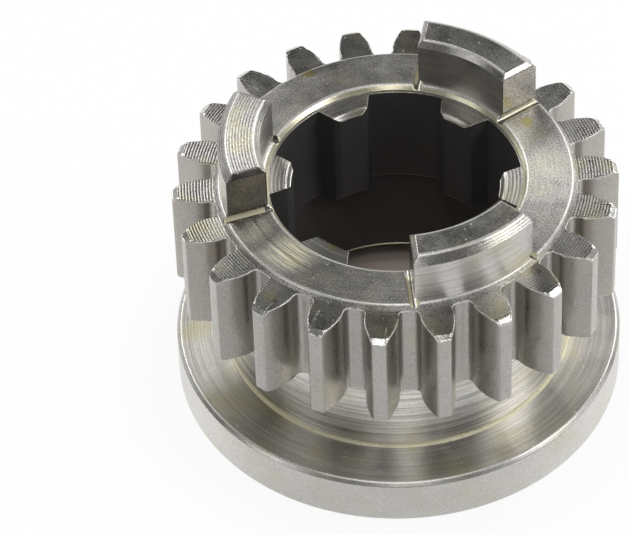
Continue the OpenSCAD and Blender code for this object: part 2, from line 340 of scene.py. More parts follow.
def make_piece(name, points, finishes, kinds, poles=None, valley=None):
    """A closed mesh from a grid of points (rows, columns, 3): each cell becomes one face. finishes names its
    materials and kinds says which of them each point's face has. The columns join round. The rows join
    round too, or end in two poles. valley is a value for each point, kept as a vertex attribute."""
    rows, columns = points.shape[:2]
    kinds = np.broadcast_to(kinds, (rows, columns))
    index = np.arange(rows * columns).reshape(rows, columns)
    vertices = points.reshape(-1, 3)
    if poles is None:
        start, below = index, np.roll(index, -1, axis=0)
        triangles = np.zeros((0, 3), int)
        shown = kinds.ravel()
    else:
        start, below = index[:-1], index[1:]
        vertices = np.vstack([vertices, poles])
        first, last = np.full(columns, rows * columns), np.full(columns, rows * columns + 1)
        triangles = np.vstack([np.stack([np.roll(index[0], -1), index[0], first], axis=-1),
                               np.stack([index[-1], np.roll(index[-1], -1), last], axis=-1)])
        shown = np.concatenate([kinds[:-1].ravel(), kinds[0], kinds[-1]])
    quads = np.stack([start, np.roll(start, -1, axis=1), np.roll(below, -1, axis=1), below], axis=-1)
    quads = quads.reshape(-1, 4)
    corners = np.vstack([quads[:, [0, 1, 2]], quads[:, [0, 2, 3]], triangles])
    a, b, c = (vertices[corners[:, i]] for i in range(3))
    if np.einsum("ij,ij->i", a, np.cross(b, c)).sum() < 0:
        quads, triangles = quads[:, ::-1], triangles[:, ::-1]
    mesh = bpy.data.meshes.new(name)
    mesh.vertices.add(len(vertices))
    mesh.vertices.foreach_set("co", vertices.astype(np.float32).ravel())
    mesh.loops.add(quads.size + triangles.size)
    mesh.loops.foreach_set("vertex_index", np.concatenate([quads.ravel(), triangles.ravel()]))
    mesh.polygons.add(len(quads) + len(triangles))
    starts = [np.arange(len(quads)) * 4, quads.size + np.arange(len(triangles)) * 3]
    mesh.polygons.foreach_set("loop_start", np.concatenate(starts))
    for finish in finishes:
        mesh.materials.append(bpy.data.materials[finish])
    mesh.polygons.foreach_set("material_index", shown.astype(np.int32))
    if valley is not None:
        depths = np.zeros(len(vertices), np.float32)
        depths[:rows * columns] = valley.ravel()
        mesh.attributes.new(VALLEY, "FLOAT", "POINT").data.foreach_set("value", depths)
    mesh.update(calc_edges=True)
    mesh.validate()
    mesh.shade_smooth()
    piece = bpy.data.objects.new(name, mesh)
    bpy.context.scene.collection.objects.link(piece)
    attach(piece, BODY)
    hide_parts(GEAR_NODE)


def section_loop(rows, arc_steps):
    """A closed outline in radius and height. Each row is a corner: radius, height, length of its bevel, and
    for the straight run after it the count of points and the kind of finish. A bevelled corner is a
    quadratic curve that starts and ends its bevel length away. Gives the points, their outward normals, the
    run that each lies on, its length along the run, which is 0 on a curve, and its kind."""
    points, runs, lengths = [], [], []
    corners = np.array([row[:2] for row in rows])
    for i, (_, _, bevel, count, _) in enumerate(rows):
        following = (i + 1) % len(rows)
        here, after, before = corners[i], corners[following], corners[i - 1]
        length = np.linalg.norm(after - here)
        run = (after - here) / length
        back = (before - here) / np.linalg.norm(before - here)
        if bevel > 0:
            arc = rounded(here + back * bevel, here, here + run * bevel, arc_steps)
            points.append(arc)
            runs += [i] * len(arc)
            lengths += [0.0] * len(arc)
        first, last = bevel, length - rows[following][2]
        margin = min(FIRST_STEP, 0.2 * (last - first))
        along = np.concatenate([[first], np.linspace(first + margin, last - margin, count), [last]])
        points.append(here + run * along[:, None])
        runs += [i] * len(along)
        lengths += list(along)
    points = np.vstack(points)
    area = np.sum(points[:, 0] * np.roll(points[:, 1], -1) - np.roll(points[:, 0], -1) * points[:, 1])
    kinds = np.array([row[4] for row in rows])[runs]
    return points, outline_normals(points) * np.sign(area), np.array(runs), np.array(lengths), kinds


def tool_ridges(x, pitch):
    """The profile that a lathe tool leaves: a rounded hollow for each turn, between 0 and -1."""
    return -np.abs(np.sin(math.pi * x / pitch)) ** 1.2


def involute(angle):
    """The involute function of a pressure angle: its tangent less the angle."""
    return np.tan(angle) - angle


def whole_pitch(*parts):
    """One pitch of an outline, counter-clockwise, from the parts of the half above the X axis."""
    half = np.vstack(parts)
    return np.vstack([half, half[-2:0:-1] * [1, -1]])[::-1]


def tooth_pitch_outline(teeth):
    """One pitch of the toothed outline, centred on a tooth. From the middle of a gap: an arc on the root
    circle, the root fillet, the involute flank, a rounded corner and the tip circle."""
    pitch_radius = teeth.module * teeth.count / 2
    tip_radius = pitch_radius + teeth.module
    root_radius = pitch_radius - DEDENDUM * teeth.module
    base_radius = pitch_radius * math.cos(teeth.pressure_angle)
    half_pitch = math.pi / teeth.count
    fillet_centre = root_radius + teeth.root_fillet
    form_radius = max(base_radius, math.sqrt(fillet_centre ** 2 - teeth.root_fillet ** 2))

    def half_angle(radius):
        slope = np.arccos(np.clip(base_radius / radius, -1, 1))
        return half_pitch / 2 + involute(teeth.pressure_angle) - involute(slope)

    foot_angle, tip_angle = float(half_angle(form_radius)), float(half_angle(tip_radius))
    centre_angle = foot_angle + math.asin(teeth.root_fillet / fillet_centre)
    root = polar(root_radius, np.linspace(half_pitch, centre_angle, ROOT_POINTS)[:-1])
    turn = np.linspace(centre_angle - math.pi, foot_angle - math.pi / 2, FILLET_POINTS)
    fillet = polar(fillet_centre, centre_angle) + polar(teeth.root_fillet, turn)
    flank_radius = np.linspace(form_radius, tip_radius - TOOTH_CORNER, FLANK_POINTS)
    flank = polar(flank_radius, half_angle(flank_radius))
    land = polar(tip_radius, np.linspace(tip_angle - TOOTH_CORNER / tip_radius, 0, LAND_POINTS))
    corner = rounded(flank[-1], polar(tip_radius, tip_angle), land[0], 4)
    return whole_pitch(root, fillet, flank, corner, land)


def spline_pitch_outline(bore):
    """One pitch of the splined outline, centred on a slot. From the middle of a spline's tip: the tip arc,
    the chamfered corner, the straight slot wall and the arc of the slot's bottom."""
    half_width = bore.slot_width / 2
    corner_angle = math.asin(half_width / bore.minor_radius)
    corner = polar(bore.minor_radius, corner_angle)
    on_wall = corner + [bore.spline_corner, 0]
    on_tip = corner + polar(bore.spline_corner, corner_angle + math.pi / 2)
    tip_angle = np.linspace(math.pi / bore.spline_count, math.atan2(on_tip[1], on_tip[0]), TIP_POINTS)
    tip = polar(bore.minor_radius, tip_angle[:-1])
    chamfer = on_tip + (on_wall - on_tip) * np.linspace(0.06, 0.94, CHAMFER_POINTS)[:, None]
    wall_end = math.sqrt(bore.major_radius ** 2 - half_width ** 2)
    wall_x = np.linspace(on_wall[0] + FIRST_STEP, wall_end - FIRST_STEP / 2, WALL_POINTS)
    wall = np.stack([wall_x, np.full_like(wall_x, half_width)], axis=1)
    bottom_angle = np.linspace(math.asin(half_width / bore.major_radius) - 0.002, 0, BOTTOM_POINTS)
    return whole_pitch(tip, chamfer, wall, polar(bore.major_radius, bottom_angle))


def repeat_round(outline, count, first_turn):
    """Copies of one pitch of an outline all round the axis, joined into one closed outline."""
    turns = first_turn + np.arange(count) * 2 * math.pi / count
    cosine, sine = np.cos(turns)[:, None], np.sin(turns)[:, None]
    x = cosine * outline[:, 0] - sine * outline[:, 1]
    y = sine * outline[:, 0] + cosine * outline[:, 1]
    return np.stack([x.ravel(), y.ravel()], axis=1)


def ring_of_teeth(outline, hidden_radius, upper, lower, edge, face_shares, wall_shares, outward):
    """A closed ring between a toothed outline and a hidden circle. Along each column the surface runs over
    the upper face from the circle to the outline, round a broken edge, down the wall and back under the
    lower face. upper and lower give the height of the faces at a radius; edge is the width of the broken
    edge at each column; the shares place the rows; outward is 1 where the teeth point away from the axis
    and -1 in a bore. Gives the points and the part that each row lies on."""
    normals = outline_normals(outline) * outward
    hidden = polar(hidden_radius, np.arctan2(outline[:, 1], outline[:, 0]))
    rim = outline - normals * edge[:, None]
    face = hidden + (rim - hidden) * face_shares[:, None, None]
    turn = np.linspace(0, math.pi / 2, 5)[1:, None]
    broken = outline - normals * (edge * (1 - np.sin(turn)))[..., None]
    drop = edge * (1 - np.cos(turn))
    rim_radius = np.hypot(rim[:, 0], rim[:, 1])
    high, low = upper(rim_radius), lower(rim_radius)
    wall_z = (high - edge) + ((low + edge) - (high - edge)) * wall_shares[:, None]
    wall = np.broadcast_to(outline, (len(wall_shares),) + outline.shape)
    face_radius = np.hypot(face[..., 0], face[..., 1])
    plan = np.concatenate([face, broken, wall, broken[::-1], face[::-1]])
    z = np.concatenate([upper(face_radius), high - drop, wall_z, (low + drop)[::-1],
                        lower(face_radius)[::-1]])
    part = np.repeat([UPPER_FACE, BROKEN_EDGE, WALL, BROKEN_EDGE, LOWER_FACE],
                     [len(face), len(broken), len(wall), len(broken), len(face)])
    return np.concatenate([plan, z[..., None]], axis=-1), part


def wire(tree, node, inputs):
    """Sets each of a node's inputs to a value, or links it to a socket."""
    for key, value in inputs.items():
        if isinstance(value, bpy.types.NodeSocket):
            tree.links.new(value, node.inputs[key])
        else:
            node.inputs[key].default_value = value


def add_node(tree, kind, inputs=None, **settings):
    """Adds a shader node, sets its fields and wires its inputs."""
    node = tree.nodes.new(kind)
    for key, value in settings.items():
        setattr(node, key, value)
    wire(tree, node, inputs or {})
    return node


def maths(tree, operation, a, b=0.0, clamp=False):
    """One Math node; gives its output."""
    return add_node(tree, "ShaderNodeMath", {0: a, 1: b}, operation=operation, use_clamp=clamp).outputs[0]


def times(tree, a, b):
    """The product of two values."""
    return maths(tree, "MULTIPLY", a, b)


def vector_maths(tree, operation, a, b=(0, 0, 0)):
    """One Vector Math node."""
    return add_node(tree, "ShaderNodeVectorMath", {0: a, 1: b}, operation=operation)


def remap(tree, value, low, high, to_low=0.0, to_high=1.0):
    """A smooth Map Range node; gives its output."""
    inputs = {0: value, 1: low, 2: high, 3: to_low, 4: to_high}
    return add_node(tree, "ShaderNodeMapRange", inputs, interpolation_type="SMOOTHSTEP").outputs[0]


def noise(tree, place, scale, detail, roughness):
    """One Noise Texture node; gives its value."""
    inputs = {"Vector": place, "Scale": scale, "Detail": detail, "Roughness": roughness}
    return add_node(tree, "ShaderNodeTexNoise", inputs).outputs[0]


def mix_colour(tree, share, a, b, blend="MIX"):
    """One colour Mix node; gives its output."""
    inputs = {0: share, 6: a, 7: b}
    return add_node(tree, "ShaderNodeMix", inputs, data_type="RGBA", blend_type=blend).outputs[2]


def axis_radius(tree, place):
    """The distance of a place from the axis."""
    flat = vector_maths(tree, "MULTIPLY", place, (1, 1, 0)).outputs[0]
    return vector_maths(tree, "LENGTH", flat).outputs["Value"]


def circling_noise(tree, place, spread, across, roughness):
    """A noise that is drawn out round the axis: it changes by spread along a circle and as across does."""
    parts = add_node(tree, "ShaderNodeSeparateXYZ", {0: place}).outputs
    sweep = add_node(tree, "ShaderNodeCombineXYZ", {
        0: times(tree, parts[0], spread), 1: times(tree, parts[1], spread), 2: across})
    return noise(tree, sweep.outputs[0], 1.0, 2.0, roughness)


def gap_over_size(tree, place, x, y, z, size):
    """The distance to a point over a size, both given in mm."""
    gap = vector_maths(tree, "DISTANCE", place, (x * MM, y * MM, z * MM)).outputs["Value"]
    return maths(tree, "DIVIDE", gap, size * MM)


def new_group(name, values, results):
    """An empty shader node group with the input Vector, inputs for values with their defaults, and outputs
    for results; gives the group, its given sockets and the node that takes its results."""
    group = bpy.data.node_groups.new(name, "ShaderNodeTree")
    group.interface.new_socket("Vector", in_out="INPUT", socket_type="NodeSocketVector")
    for label, value in values.items():
        socket = group.interface.new_socket(label, in_out="INPUT", socket_type="NodeSocketFloat")
        socket.default_value = value
    for label in results:
        group.interface.new_socket(label, in_out="OUTPUT", socket_type="NodeSocketFloat")
    return group, group.nodes.new("NodeGroupInput").outputs, group.nodes.new("NodeGroupOutput")


def turned_marks_group():
    """Marks of the lathe tool along a feed coordinate, which is the radius on faces and the height on walls.
    Height is one round hollow for each turn of the feed, plus uneven rings. Valley is 1 at the bottom of a
    hollow. Rings is a patchy value for each ring between 0 and 1."""
    values = {"Feed": 0.4 * MM, "Face share": 1.0, "Wall share": 0.0, "Ridge share": 0.6}
    group, given, result = new_group("turned_marks", values, ("Height", "Valley", "Rings"))
    height = add_node(group, "ShaderNodeSeparateXYZ", {0: given["Vector"]}).outputs[2]
    path = maths(group, "ADD", times(group, axis_radius(group, given["Vector"]), given["Face share"]),
                 times(group, height, given["Wall share"]))
    turns = maths(group, "DIVIDE", path, given["Feed"])
    hollow = maths(group, "ABSOLUTE", maths(group, "SINE", times(group, turns, math.pi)))
    rings = circling_noise(group, given["Vector"], RING_SPREAD, turns, 0.6)
    even = times(group, hollow, given["Ridge share"])
    uneven = times(group, rings, maths(group, "SUBTRACT", 1.6, given["Ridge share"]))
    wire(group, result, {"Height": maths(group, "SUBTRACT", uneven, even),
                         "Valley": times(group, even, hollow),
                         "Rings": remap(group, rings, 0.3, 0.7)})


def steel_grain_group():
    """Fine grain and soft patches of the steel: a shade to multiply, a change of roughness, a height and a
    mask of small bright nicks, which are the cells of a sparse pattern of points."""
    values = {"Contrast": 0.2, "Nick spacing": 1.2 * MM}
    group, given, result = new_group("steel_grain", values, ("Shade", "Roughness", "Height", "Nicks"))
    fine = noise(group, given["Vector"], 1 / GRAIN_SIZE, 2.0, 0.7)
    patches = noise(group, given["Vector"], 1 / PATCH_SIZE, 3.0, 0.6)
    rough = times(group, maths(group, "SUBTRACT", patches, 0.5), 0.25)
    both = maths(group, "ADD", maths(group, "SUBTRACT", fine, 0.5), rough)
    shade = maths(group, "ADD", 1.0, times(group, both, times(group, given["Contrast"], 3.0)))
    cells = add_node(group, "ShaderNodeTexVoronoi", {
        "Vector": given["Vector"], "Scale": maths(group, "DIVIDE", 1.0, given["Nick spacing"]),
        "Randomness": 1.0})
    # The colour of a cell says whether it holds a nick and how large, as a share of the spacing
    chosen = add_node(group, "ShaderNodeSeparateColor", {0: cells.outputs["Color"]}).outputs
    size = remap(group, chosen[1], 0.0, 1.0, 0.08, 0.22)
    close = remap(group, maths(group, "DIVIDE", cells.outputs["Distance"], size), 1.0, 0.5)
    wire(group, result, {"Shade": maths(group, "MAXIMUM", shade, 0.05),
                         "Roughness": rough,
                         "Height": fine,
                         "Nicks": times(group, close, maths(group, "GREATER_THAN", chosen[0], NO_NICK))})


def oil_stains_group():
    """Where old oil lies: a thin film in soft clouds, and round stains with ragged edges at the places of
    OIL_STAINS. Each stain fades with its distance over its size."""
    group, given, result = new_group("oil_stains", {"Film": 0.3}, ("Mask",))
    clouds = noise(group, given["Vector"], 1 / CLOUD_SIZE, 2.0, 0.5)
    ragged = noise(group, given["Vector"], 1 / RAGGED_SIZE, 3.0, 0.6)
    mask = times(group, remap(group, clouds, 0.45, 0.75), given["Film"])
    for x, y, z, size, strength in OIL_STAINS:
        edge = maths(group, "ADD", gap_over_size(group, given["Vector"], x, y, z, size), ragged)
        mask = maths(group, "MAXIMUM", mask, remap(group, edge, 1.5, 0.9, 0.0, strength))
    wire(group, result, {"Mask": mask})


def rubbed_sheen_group():
    """Where the face is polished by wear and a gold highlight is painted: soft spots at the places of
    RUBBED_SHEEN_PLACES, broken into arcs about the axis by a noise that changes fast along the radius and
    slowly round it."""
    group, given, result = new_group("rubbed_sheen_places", {}, ("Mask",))
    turns = maths(group, "DIVIDE", axis_radius(group, given["Vector"]), ARC_SPACING)
    arcs = circling_noise(group, given["Vector"], ARC_SPREAD, turns, 0.7)
    mask = 0.0
    for x, y, z, size, strength in RUBBED_SHEEN_PLACES:
        gap = gap_over_size(group, given["Vector"], x, y, z, size)
        mask = maths(group, "MAXIMUM", mask, remap(group, gap, 1.0, 0.2, 0.0, strength))
    wire(group, result, {"Mask": times(group, mask, remap(group, arcs, 0.38, 0.62, 0.25, 1.0))})


def group_node(tree, name, inputs):
    """Places one of the node groups in a material; gives its outputs."""
    return add_node(tree, "ShaderNodeGroup", inputs, node_tree=bpy.data.node_groups[name]).outputs


def steel_material(name, finish):
    """A cut steel surface from one row of FINISHES: a base colour with grain, rings, painted shade in the
    valleys, oil, bright nicks and a gold highlight painted where wear has polished the face, the grain and
    the tool's marks as bump, and a gloss drawn out across the marks."""
    colours = bpy.context.scene.gear_finish
    material = bpy.data.materials.new(name)
    material.use_nodes = True
    tree = material.node_tree
    place = add_node(tree, "ShaderNodeTexCoord").outputs["Object"]
    marks = group_node(tree, "turned_marks", {
        "Vector": place, "Feed": finish["feed"] * MM, "Face share": finish["face"],
        "Wall share": finish["wall"], "Ridge share": finish["ridges"]})
    grain = group_node(tree, "steel_grain", {
        "Vector": place, "Contrast": finish["mottle"], "Nick spacing": finish["spacing"] * MM})
    stains = group_node(tree, "oil_stains", {"Vector": place, "Film": finish["oil"]})
    rings = remap(tree, marks["Rings"], 0, 1, 1 - finish["rings"], 1 + finish["rings"])
    # Painted shade: the colour darkens at the bottoms of the tool's hollows and of the valleys carved in the
    # mesh
    dark = times(tree, marks["Valley"], finish["valleys"])
    if finish["carved"] > 0:
        carved = add_node(tree, "ShaderNodeAttribute", attribute_name=VALLEY).outputs["Fac"]
        dark = maths(tree, "MAXIMUM", dark, times(tree, carved, finish["carved"]))
    shade = times(tree, times(tree, grain["Shade"], rings), maths(tree, "SUBTRACT", 1.0, dark))
    grey = add_node(tree, "ShaderNodeCombineColor", {0: shade, 1: shade, 2: shade}).outputs[0]
    base = mix_colour(tree, 1.0, (*getattr(colours, finish["colour"]), 1), grey, "MULTIPLY")
    base = mix_colour(tree, stains["Mask"], base, (*colours.oil, 1))
    metal = finish["metal"]
    if finish["nicks"] > 0:
        bare = times(tree, grain["Nicks"], finish["nicks"])
        base = mix_colour(tree, bare, base, (*colours.bright, 1))
        # Painted highlight: places polished by wear turn matt gold
        if finish["rubbed_sheen"] > 0:
            rubbed_sheen = group_node(tree, "rubbed_sheen_places", {"Vector": place})["Mask"]
            rubbed_sheen = times(tree, rubbed_sheen, finish["rubbed_sheen"])
            base = mix_colour(tree, rubbed_sheen, base, (*colours.gold, 1))
            bare = maths(tree, "MAXIMUM", bare, rubbed_sheen)
        metal = times(tree, metal, maths(tree, "SUBTRACT", 1.0, bare))
    grain_bump = add_node(tree, "ShaderNodeBump", {
        "Height": grain["Height"], "Strength": 1.0, "Distance": finish["grain"] * MM})
    mark_bump = add_node(tree, "ShaderNodeBump", {
        "Height": marks["Height"], "Strength": 1.0, "Distance": finish["depth"] * MM,
        "Normal": grain_bump.outputs[0]})
    circle = vector_maths(tree, "CROSS_PRODUCT", place, (0, 0, 1)).outputs[0]
    normal = add_node(tree, "ShaderNodeNewGeometry").outputs["Normal"]
    across = vector_maths(tree, "CROSS_PRODUCT", circle, normal).outputs[0]
    wire(tree, tree.nodes["Principled BSDF"], {
        "Base Color": base,
        "Metallic": metal,
        "Roughness": maths(tree, "ADD", finish["roughness"], grain["Roughness"], clamp=True),
        "Anisotropic": finish["stretch"],
        "Normal": mark_bump.outputs[0],
        "Tangent": vector_maths(tree, "NORMALIZE", across).outputs[0]})


class GEAR_OT_finishes(bpy.types.Operator):
    """Make the node groups, then the finishes of the gear by the way that each surface was cut"""
    bl_idname = "gear.finishes"
    bl_label = "Finishes"

    def execute(self, context):
        turned_marks_group()
        steel_grain_group()
        oil_stains_group()
        rubbed_sheen_group()
        for name, finish in FINISHES.items():
            steel_material(name, {**PLAIN_CUT, **finish})
        return {"FINISHED"}


class GEAR_OT_tooth_rim(bpy.types.Operator):
    """Make the rim of involute teeth"""
    bl_idname = "gear.tooth_rim"
    bl_label = "Toothed rim"

    def execute(self, context):
        teeth = context.scene.gear_teeth
        outline = repeat_round(tooth_pitch_outline(teeth), teeth.count, teeth.first_turn)
        tip_radius = teeth.module * (teeth.count / 2 + 1)
        root_radius = tip_radius - (1 + DEDENDUM) * teeth.module
        slope = teeth.chamfer_height / teeth.chamfer_reach

        def upper(radius):
            cone = teeth.high - teeth.chamfer_height + (tip_radius - radius) * slope
            return soft_min(teeth.high, cone, TOOTH_CREASE)

        def lower(radius):
            cone = teeth.low + teeth.lower_chamfer - (tip_radius - radius)
            return soft_max(teeth.low, cone, TOOTH_CREASE)

        # The broken edge varies quickly along the outline, and in some places more than in others
        along = np.linspace(0, 2 * math.pi, len(outline), endpoint=False)
        uneven = 1 + 0.6 * wander(along * 180, 22) * wander(along * 40, 7)
        edge = np.clip(teeth.edge_break * uneven, 0.3 * teeth.edge_break, 2 * teeth.edge_break)
        face_shares = np.concatenate([np.linspace(0, 0.75, 12)[:-1], np.linspace(0.75, 0.985, 18),
                                      [0.992, 1]])
        wall_shares = np.array([0.003, 0.02, 0.25, 0.5, 0.75, 0.98, 0.997])
        points, part = ring_of_teeth(outline, RIM_HIDDEN, upper, lower, edge, face_shares, wall_shares, 1)

        # The walls are hobbed, but for the strips on the tip and root circles
        faced, hobbed, turned, worn_sheen, filed = range(5)
        radius = np.hypot(outline[:, 0], outline[:, 1])
        on_circle = (radius > tip_radius - 0.05 * MM) | (radius < root_radius + 0.12 * MM)
        kinds = np.where((part == WALL)[:, None], np.where(on_circle, turned, hobbed), faced)
        # The broken edges: wear, and a painted highlight
        kinds = np.where((part == BROKEN_EDGE)[:, None], worn_sheen, kinds)
        on_tip = np.hypot(points[..., 0], points[..., 1]) > tip_radius - 0.95 * teeth.chamfer_reach
        kinds = np.where((part == UPPER_FACE)[:, None] & on_tip, filed, kinds)
        finishes = ("faced_teeth", "hobbed_flanks", "turned_lands", "worn_sheen_edges", "filed_tips")
        make_piece("tooth_rim", points, finishes, kinds)
        return {"FINISHED"}


def dog_turns(hub):
    """The turn of each dog's middle about the axis."""
    return hub.dog_first_turn + np.arange(hub.dog_count) * 2 * math.pi / hub.dog_count


class GEAR_OT_hub_ring(bpy.types.Operator):
    """Make the raised ring with the relief grooves of the dogs"""
    bl_idname = "gear.hub_ring"
    bl_label = "Hub ring"

    def execute(self, context):
        hub, bore, teeth = context.scene.gear_hub, context.scene.gear_bore, context.scene.gear_teeth
        faced, painted_highlight, sloped, worn_sheen, milled = range(5)
        foot = teeth.high - RING_SUNK
        rows = [
            (CORE_HIDDEN, foot, 0, 2, faced),
            (bore.mouth_radius, foot, 0, 8, faced),
            (bore.mouth_radius, hub.ring_top - bore.mouth_chamfer, hub.edge_break, 6, sloped),
            (bore.mouth_radius + bore.mouth_chamfer, hub.ring_top, hub.ring_worn_edge, 60, faced),
            (hub.ring_foot_radius - hub.ring_edge, hub.ring_top, hub.ring_worn_edge, 6, faced),
            (hub.ring_foot_radius, teeth.high, hub.edge_break, 2, faced),
            (hub.ring_foot_radius, foot, 0, 2, faced),
        ]
        section, _, runs, lengths, kinds = section_loop(rows, 7)
        radius, height = section[:, 0, None], section[:, 1, None]

        # The columns run from each end face of a dog to the next, close together within reach of both
        reach = 1.0 * MM
        half = hub.dog_arc / 2
        starts = np.stack([dog_turns(hub) - half, dog_turns(hub) + half], axis=1).ravel()
        ends = np.append(starts[1:], starts[0] + 2 * math.pi)
        near = reach * np.sin(np.linspace(0, math.pi / 2, 15))
        middle = np.linspace(0, 1, 70)[1:-1]
        share = np.concatenate([np.zeros_like(near), middle, np.ones(len(near) - 1)])
        first = np.concatenate([near, np.full(len(middle) + len(near) - 1, reach)])
        second = np.concatenate([np.full(len(near) + len(middle), -reach), -near[::-1][:-1]])
        first_angle = starts[:, None, None] + np.arcsin(first / radius[None])
        second_angle = ends[:, None, None] + np.arcsin(second / radius[None])
        angle = first_angle + (second_angle - first_angle) * share
        angle = angle.transpose(1, 0, 2).reshape(len(section), -1)

        # The relief groove is a cylinder along the foot of each end face
        turned = angle[..., None] - starts
        sideways = radius * np.where(np.cos(turned) > 0, np.abs(np.sin(turned)), 1).min(axis=-1)
        depth = np.sqrt(np.clip(hub.relief_radius ** 2 - sideways ** 2, 0, None))
        groove = np.where(sideways < hub.relief_radius, hub.ring_top + hub.relief_lift - depth, TOP_Z)
        above_teeth = height > teeth.high - 0.2 * MM
        z = np.where(above_teeth & (sideways < reach), soft_min(height, groove, CREASE / 2), height)

        # A face is carved where all its corners are; the groove's lip, away from dog and mouth, gets a
        # painted gold highlight
        carved = (groove < height - CREASE / 2) & (sideways < reach)
        carved = carved & np.roll(carved, -1, axis=1) & np.roll(carved, -1, axis=0)
        # The ring's rounded edges: wear, and a painted highlight
        kinds = np.where(np.isin(runs, (3, 4)) & (lengths == 0), worn_sheen, kinds)
        lip = (sideways > 0.22 * MM) & (radius > 18.2 * MM)
        kinds = np.where(carved, np.where(lip, painted_highlight, milled), kinds[:, None])
        finishes = ("faced_ring", "relief_highlights", "turned_edges", "worn_sheen_edges", "milled_ends")
        make_piece("hub_ring", polar(radius, angle, z), finishes, kinds)
        return {"FINISHED"}


class GEAR_OT_face_dogs(bpy.types.Operator):
    """Make the three face dogs"""
    bl_idname = "gear.face_dogs"
    bl_label = "Face dogs"

    def execute(self, context):
        hub = context.scene.gear_hub
        edge, foot = hub.edge_break, hub.ring_top - DOG_SUNK
        top, end, worn_sheen, slope, wall = range(5)
        rows = [
            (hub.dog_inner_radius, foot, 0, 2, top),
            (hub.dog_outer_radius, foot, 0, 44, wall),
            (hub.dog_outer_radius, TOP_Z - hub.outer_chamfer, edge, 28, slope),
            (hub.dog_outer_radius - hub.outer_chamfer, TOP_Z, hub.worn_edge, 72, top),
            (hub.dog_inner_radius + hub.inner_chamfer, TOP_Z, hub.worn_edge, 16, slope),
            (hub.dog_inner_radius, TOP_Z - hub.inner_chamfer, edge, 36, wall),
        ]
        section, normals, runs, lengths, kinds = section_loop(rows, 7)
        ridge = tool_ridges(lengths, hub.ridge_pitch) * hub.ridge_depth
        ridge = ridge * (np.array(RIDGE_SHARES)[runs] * (lengths > 0))
        centre = np.array([(hub.dog_inner_radius + hub.dog_outer_radius) / 2, (hub.ring_top + TOP_Z) / 2])

        # The rows run from one pole over its end face and broken edge, along the dog and to the other pole
        main = np.linspace(-1, 1, 80)
        turn = np.linspace(0, math.pi / 2, 4)[1:]
        shrink = 1 - np.linspace(0, 1, 46)[1:-1]
        caps = len(turn) + len(shrink)
        cap_recess = np.concatenate([edge * (1 - np.sin(turn)), np.zeros(len(shrink))])
        cap_inset = np.concatenate([edge * (1 - np.cos(turn)), np.full(len(shrink), edge)])
        cap_scale = np.concatenate([np.ones(len(turn)), shrink])
        side = np.concatenate([-np.ones(caps), main, np.ones(caps)])
        recess = np.concatenate([cap_recess[::-1], np.full(len(main), edge), cap_recess])
        inset = np.concatenate([cap_inset[::-1], np.zeros(len(main)), cap_inset])
        scale = np.concatenate([cap_scale[::-1], np.ones(len(main)), cap_scale])[:, None, None]
        flat = section - normals * inset[:, None, None]
        flat = centre + (flat - centre) * scale
        radius, height = flat[..., 0], flat[..., 1]

        # The end faces are pulled back by the relief groove at their foot and the chamfer at their top
        over = np.clip(height - (hub.ring_top + hub.relief_lift), 0, None)
        relief = np.sqrt(np.clip(hub.relief_radius ** 2 - over ** 2, 0, None))
        pulled = soft_max(relief, height - (TOP_Z - hub.end_chamfer), CREASE)
        pulled = soft_max(pulled, 0, CREASE) + recess[:, None]
        half = hub.dog_arc / 2
        angle = side[:, None] * (half - np.arcsin(pulled / radius))

        # The dogs' rounded top edges: wear, and a painted highlight
        kinds = np.where(np.isin(runs, (3, 4)) & (lengths == 0), worn_sheen, kinds)
        kinds = np.where((recess < edge)[:, None], end, kinds)
        full = ridge * (scale[..., 0] == 1)
        out = normals * scale
        pole_turn = (half - math.asin(0.02 * MM / centre[0])) * np.array([-1, 1])
        for number, middle in enumerate(dog_turns(hub), 1):
            carved = full * DOG_RIDGES[(number - 1) % len(DOG_RIDGES)]
            points = polar(radius + out[..., 0] * carved, angle + middle, height + out[..., 1] * carved)
            # One dog's end faces are painted dark as shade
            ends = "shaded_ends" if number == DARK_DOG else "milled_ends"
            finishes = ("turned_dogs", ends, "worn_sheen_edges", "turned_slopes", "turned_walls")
            make_piece(f"face_dog_{number}", points, finishes, kinds,
                       polar(centre[0], middle + pole_turn, centre[1]), np.abs(carved) / hub.ridge_depth)
        return {"FINISHED"}


class GEAR_OT_splined_bore(bpy.types.Operator):
    """Make the splines and slots of the bore"""
    bl_idname = "gear.splined_bore"
    bl_label = "Splined bore"

    def execute(self, context):
        bore = context.scene.gear_bore
        outline = repeat_round(spline_pitch_outline(bore), bore.spline_count, bore.first_slot_turn)

        def upper(radius):
            cone = bore.spline_high - bore.end_chamfer + (radius - bore.minor_radius)
            return soft_min(bore.spline_high, cone, CREASE)

        def lower(radius):
            cone = bore.spline_low + bore.end_chamfer - (radius - bore.minor_radius)
            return soft_max(bore.spline_low, cone, CREASE)

        edge = np.full(len(outline), bore.edge_break)
        face_shares = np.concatenate([np.linspace(0, 0.55, 10)[:-1], np.linspace(0.55, 0.99, 46), [1]])
        wall_shares = np.concatenate([[0.004], np.linspace(0.02, 0.98, 30), [0.996]])
        points, part = ring_of_teeth(outline, SPLINES_HIDDEN, upper, lower, edge, face_shares, wall_shares,
                                     -1)
        # The walls of the slots take the near-black of the bore, partly painted shade
        faced, oiled_shaded = range(2)
        kinds = np.where(part == WALL, oiled_shaded, faced)[:, None]
        make_piece("splined_bore", points, ("spline_ends", "oiled_shaded_bore"), kinds)
        return {"FINISHED"}


